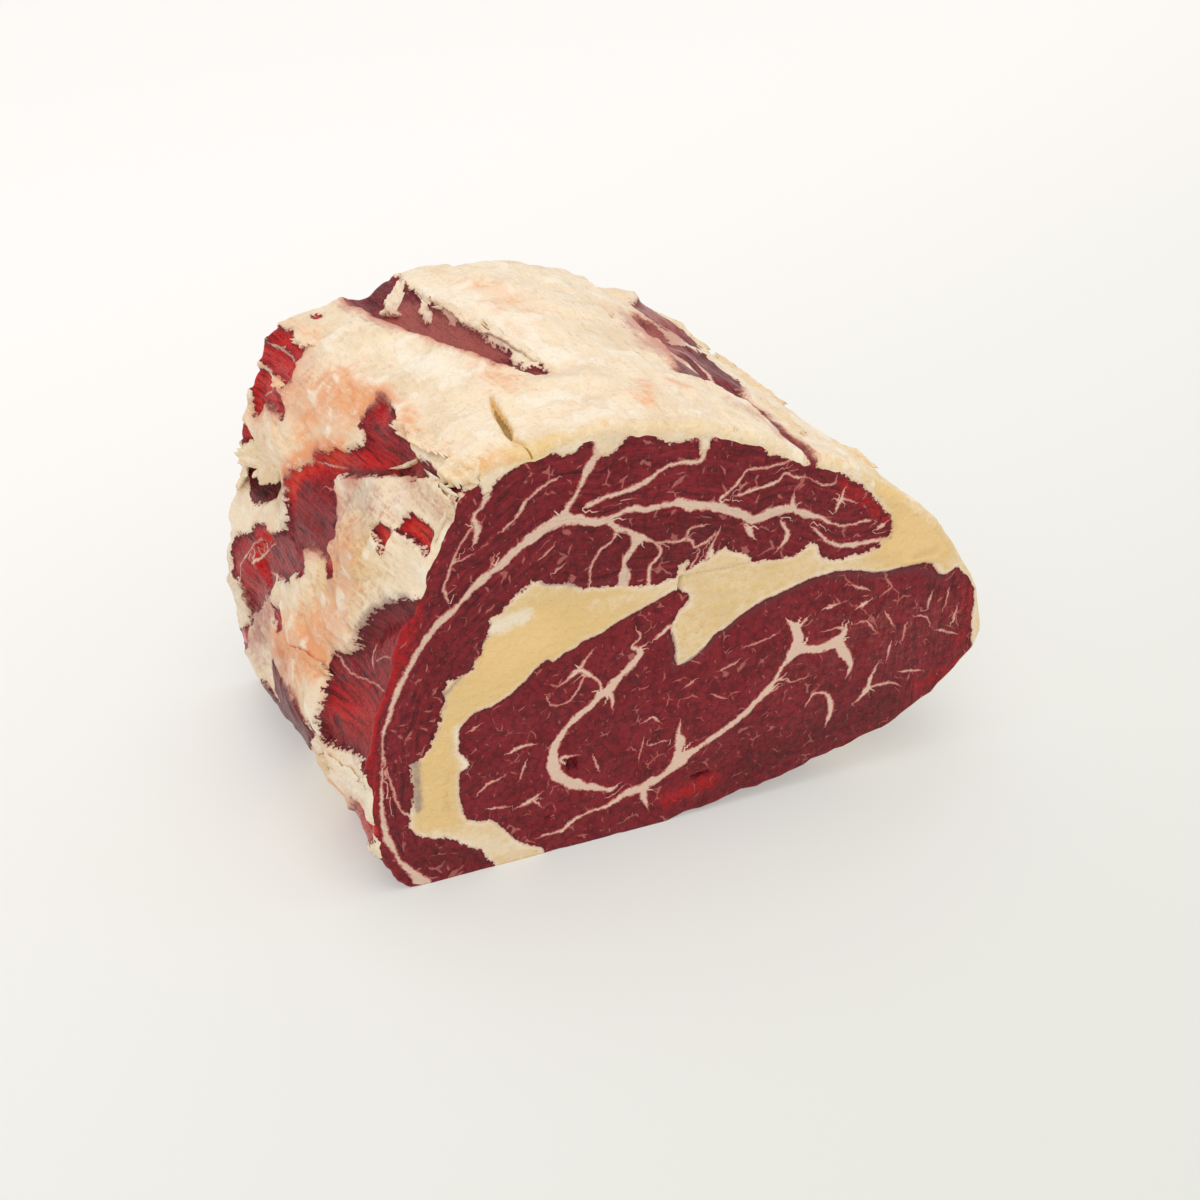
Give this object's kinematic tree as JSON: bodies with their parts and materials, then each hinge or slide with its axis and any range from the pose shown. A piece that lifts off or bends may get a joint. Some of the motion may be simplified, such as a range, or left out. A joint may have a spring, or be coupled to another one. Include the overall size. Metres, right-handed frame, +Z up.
{
  "type": "raw ribeye joint",
  "caption": "Thick raw boneless beef rib block, cut straight across at both ends, with its fat cap, kernel fat seam and a torn trimmed side. It stands flat on its rib side.",
  "frame": {"origin": "the middle of the overall box at table level", "axes": "+Z up, +X along the cut face to the narrow end of the eye muscle, -Y out of the cut face, +Y along the meat's length to the back"},
  "size_m": [0.2022, 0.123, 0.1358],
  "materials": {
    "raw_beef": "moist red lean meat with cream fat"
  },
  "bodies": {
    "root": {"ribeye": "raw_beef"}
  },
  "joints": []
}
